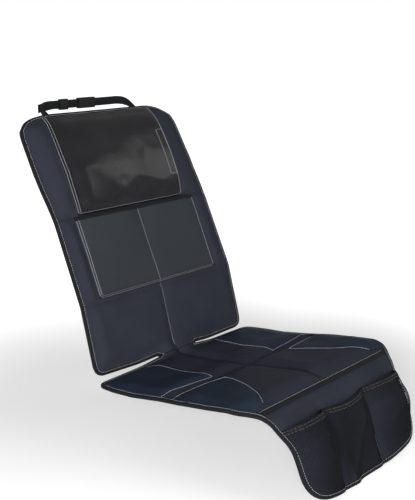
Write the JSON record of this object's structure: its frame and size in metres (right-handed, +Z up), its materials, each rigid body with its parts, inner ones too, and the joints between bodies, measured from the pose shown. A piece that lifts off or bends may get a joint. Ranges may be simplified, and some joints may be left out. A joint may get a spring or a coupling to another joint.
{
  "type": "car seat protector",
  "caption": "Padded mat laid over the back and cushion of a car seat, with a clear window pocket, document pockets, a hanging flap of net pockets and a head restraint strap.",
  "frame": {"origin": "middle of the flat underside of the cushion part, where the mat rests on the car seat", "axes": "+Z up, -Y towards the front of the car seat where the flap hangs, +X across the seat"},
  "size_m": [0.52, 0.7661, 0.6864],
  "materials": {
    "navy_cloth": "woven, slightly glossy",
    "slate_cloth": "woven, matte",
    "patch_leatherette": "smooth leatherette",
    "black_tape": "ribbed tape and webbing",
    "grey_foam": "open cell foam",
    "non_slip_mesh": "non-slip mesh",
    "clear_film": "clear glossy film",
    "hook_and_loop": "hook and loop pile",
    "black_net": "fine net",
    "black_plastic": "moulded, satin"
  },
  "bodies": {
    "mat": {"back_cloth": "navy_cloth", "back_foam": "grey_foam", "back_backing": "non_slip_mesh", "cushion_cloth": "navy_cloth", "cushion_foam": "grey_foam", "cushion_backing": "non_slip_mesh", "edge_binding": "black_tape", "rear_patch_left": "patch_leatherette", "rear_patch_right": "patch_leatherette", "front_patch_left": "patch_leatherette", "front_patch_right": "patch_leatherette", "window_film": "clear_film", "window_bottom_tape": "black_tape", "hook_strip": "hook_and_loop", "loop_strip": "hook_and_loop", "organiser_pocket": "slate_cloth", "organiser_top_tape": "black_tape", "organiser_bottom_tape": "black_tape", "front_flap": "navy_cloth", "net_pocket_left": "black_net", "net_pocket_centre": "black_net", "net_pocket_right": "black_net", "net_elastic_left": "black_tape", "net_elastic_centre": "black_tape", "net_elastic_right": "black_tape", "strap_left": "black_tape", "strap_right": "black_tape", "buckle_socket": "black_plastic"},
    "plug": {"buckle_plug": "black_plastic"},
    "slider": {"strap_slider": "black_plastic", "strap_tail": "black_tape"}
  },
  "joints": [
    {"name": "buckle_release", "type": "slide", "parent": "mat", "child": "plug", "axis": [1, 0, 0], "range_m": [0, 0.03], "deforming": ["strap_right"]},
    {"name": "slider_travel", "type": "slide", "parent": "mat", "child": "slider", "axis": [1, 0, 0], "range_m": [0, 0.025]}
  ]
}
